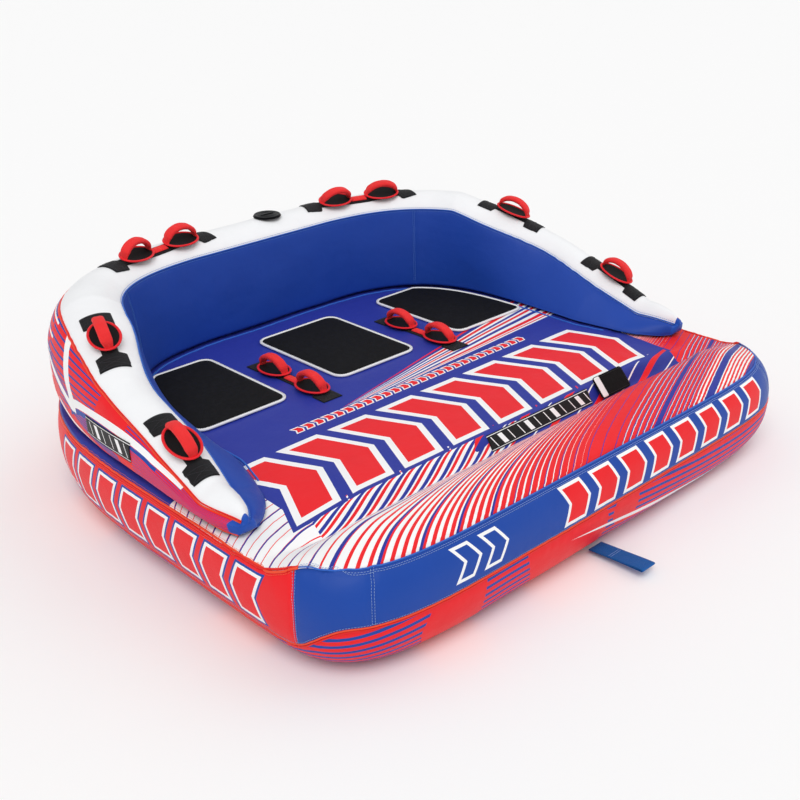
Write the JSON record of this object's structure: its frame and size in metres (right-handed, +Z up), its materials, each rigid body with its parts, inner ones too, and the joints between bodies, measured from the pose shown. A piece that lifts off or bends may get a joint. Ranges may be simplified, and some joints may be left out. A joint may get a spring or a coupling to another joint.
{
  "type": "towable tube",
  "caption": "Inflatable towable tube: flat deck with a raised bow roll, U-shaped backrest, padded seats, grip handles, valves and a tow strap.",
  "frame": {"origin": "on the flat underside, under the middle of the base", "axes": "+X to the right rider, +Y towards the backrest, -Y towards the tow end, +Z up"},
  "size_m": [2.07, 2.0164, 0.7348],
  "materials": {
    "printed_nylon": "coated woven nylon printed red, white and blue",
    "backrest_nylon": "coated woven nylon, blue wall, white crown, printed outer face",
    "bladder_vinyl": "smooth vinyl sheet",
    "pad_neoprene": "fine textured neoprene",
    "black_webbing": "woven polyester webbing",
    "grip_webbing": "padded red webbing",
    "guard_rubber": "black neoprene with bound edge",
    "valve_plastic": "moulded black plastic",
    "blue_webbing": "woven blue webbing",
    "patch_fabric": "black sewn patch with pale slashes",
    "zip_tape": "woven zip tape with moulded teeth",
    "zip_metal": "cast zip slider"
  },
  "bodies": {
    "tube": {"base_cover": "printed_nylon", "base_bladder": "bladder_vinyl", "bow_bladder": "bladder_vinyl", "backrest_cover": "backrest_nylon", "backrest_bladder": "bladder_vinyl", "backrest_valve_body": "valve_plastic", "base_valve_body": "valve_plastic", "bow_valve_body": "valve_plastic", "bow_valve_plug": "valve_plastic", "base_zip_tape": "zip_tape", "backrest_zip_tape": "zip_tape", "seat_pad_left": "pad_neoprene", "seat_pad_centre": "pad_neoprene", "seat_pad_right": "pad_neoprene", "deck_left_webbing": "black_webbing", "deck_left_front_guard": "guard_rubber", "deck_left_rear_guard": "guard_rubber", "back_left_webbing": "black_webbing", "back_left_outer_guard": "guard_rubber", "back_left_inner_guard": "guard_rubber", "arm_left_rear_webbing": "black_webbing", "arm_left_rear_guard": "guard_rubber", "arm_left_front_webbing": "black_webbing", "arm_left_front_guard": "guard_rubber", "deck_right_webbing": "black_webbing", "deck_right_front_guard": "guard_rubber", "deck_right_rear_guard": "guard_rubber", "back_right_webbing": "black_webbing", "back_right_outer_guard": "guard_rubber", "back_right_inner_guard": "guard_rubber", "arm_right_rear_webbing": "black_webbing", "arm_right_rear_guard": "guard_rubber", "arm_right_front_webbing": "black_webbing", "arm_right_front_guard": "guard_rubber", "bow_patch": "patch_fabric", "side_patch_left": "patch_fabric", "side_patch_right": "patch_fabric", "tow_patch": "black_webbing"},
    "deck_left_front_grip": {"deck_left_front_grip": "grip_webbing"},
    "deck_left_rear_grip": {"deck_left_rear_grip": "grip_webbing"},
    "back_left_outer_grip": {"back_left_outer_grip": "grip_webbing"},
    "back_left_inner_grip": {"back_left_inner_grip": "grip_webbing"},
    "arm_left_rear_grip": {"arm_left_rear_grip": "grip_webbing"},
    "arm_left_front_grip": {"arm_left_front_grip": "grip_webbing"},
    "deck_right_front_grip": {"deck_right_front_grip": "grip_webbing"},
    "deck_right_rear_grip": {"deck_right_rear_grip": "grip_webbing"},
    "back_right_outer_grip": {"back_right_outer_grip": "grip_webbing"},
    "back_right_inner_grip": {"back_right_inner_grip": "grip_webbing"},
    "arm_right_rear_grip": {"arm_right_rear_grip": "grip_webbing"},
    "arm_right_front_grip": {"arm_right_front_grip": "grip_webbing"},
    "backrest_valve_cap": {"backrest_valve_cap": "valve_plastic"},
    "base_valve_cap": {"base_valve_cap": "valve_plastic"},
    "bow_valve_flap": {"bow_valve_flap": "pad_neoprene"},
    "tow_strap": {"tow_strap": "blue_webbing"},
    "base_zip_slider": {"base_zip_slider": "zip_metal"},
    "backrest_zip_slider": {"backrest_zip_slider": "zip_metal"}
  },
  "joints": [
    {"name": "deck_left_front_grip_hinge", "type": "hinge", "parent": "tube", "child": "deck_left_front_grip", "pos_m": [-0.292, 0.072, 0.3202], "axis": [0, 1, 0], "range_deg": [-55, 55]},
    {"name": "deck_left_rear_grip_hinge", "type": "hinge", "parent": "tube", "child": "deck_left_rear_grip", "pos_m": [-0.292, 0.272, 0.3202], "axis": [0, 1, 0], "range_deg": [-55, 55]},
    {"name": "back_left_outer_grip_hinge", "type": "hinge", "parent": "tube", "child": "back_left_outer_grip", "pos_m": [-0.50539, 0.70654, 0.67584], "axis": [0.9586, 0.2846, 0], "range_deg": [-55, 55]},
    {"name": "back_left_inner_grip_hinge", "type": "hinge", "parent": "tube", "child": "back_left_inner_grip", "pos_m": [-0.30954, 0.73878, 0.67584], "axis": [0.9975, 0.0707, 0], "range_deg": [-55, 55]},
    {"name": "arm_left_rear_grip_hinge", "type": "hinge", "parent": "tube", "child": "arm_left_rear_grip", "pos_m": [-0.89488, 0.26438, 0.61627], "axis": [0.2934, 0.9077, 0.3], "range_deg": [-55, 55]},
    {"name": "arm_left_front_grip_hinge", "type": "hinge", "parent": "tube", "child": "arm_left_front_grip", "pos_m": [-0.95004, -0.19684, 0.45392], "axis": [0.0516, 0.9319, 0.3591], "range_deg": [-55, 55]},
    {"name": "deck_right_front_grip_hinge", "type": "hinge", "parent": "tube", "child": "deck_right_front_grip", "pos_m": [0.292, 0.072, 0.3202], "axis": [0, 1, 0], "range_deg": [-55, 55]},
    {"name": "deck_right_rear_grip_hinge", "type": "hinge", "parent": "tube", "child": "deck_right_rear_grip", "pos_m": [0.292, 0.272, 0.3202], "axis": [0, 1, 0], "range_deg": [-55, 55]},
    {"name": "back_right_outer_grip_hinge", "type": "hinge", "parent": "tube", "child": "back_right_outer_grip", "pos_m": [0.57955, 0.67857, 0.67584], "axis": [-0.9049, 0.4257, 0], "range_deg": [-55, 55]},
    {"name": "back_right_inner_grip_hinge", "type": "hinge", "parent": "tube", "child": "back_right_inner_grip", "pos_m": [0.38891, 0.73075, 0.67584], "axis": [-0.991, 0.134, 0], "range_deg": [-55, 55]},
    {"name": "arm_right_rear_grip_hinge", "type": "hinge", "parent": "tube", "child": "arm_right_rear_grip", "pos_m": [0.89488, 0.26438, 0.61627], "axis": [-0.2934, 0.9077, 0.3], "range_deg": [-55, 55]},
    {"name": "arm_right_front_grip_hinge", "type": "hinge", "parent": "tube", "child": "arm_right_front_grip", "pos_m": [0.95004, -0.19684, 0.45392], "axis": [-0.0516, 0.9319, 0.3591], "range_deg": [-55, 55]},
    {"name": "backrest_valve_cap_hinge", "type": "hinge", "parent": "tube", "child": "backrest_valve_cap", "pos_m": [0.09, 0.82296, 0.6642], "axis": [-1, 0, 0], "range_deg": [0, 120]},
    {"name": "base_valve_cap_hinge", "type": "hinge", "parent": "tube", "child": "base_valve_cap", "pos_m": [0, 0.93401, 0.19963], "axis": [-1, 0, 0], "range_deg": [0, 120]},
    {"name": "bow_valve_flap_hinge", "type": "hinge", "parent": "tube", "child": "bow_valve_flap", "pos_m": [0.44, -0.54565, 0.31722], "axis": [-1, 0, 0], "range_deg": [0, 120]},
    {"name": "tow_strap_hinge", "type": "hinge", "parent": "tube", "child": "tow_strap", "pos_m": [-0.03, -0.884, 0.014], "axis": [-1, 0, 0], "range_deg": [-20, 35]},
    {"name": "base_zip_slider_slide", "type": "slide", "parent": "tube", "child": "base_zip_slider", "axis": [1, 0, 0], "range_m": [0, 0.44]},
    {"name": "backrest_zip_slider_slide", "type": "slide", "parent": "tube", "child": "backrest_zip_slider", "axis": [1, 0, 0], "range_m": [0, 0.44]}
  ]
}
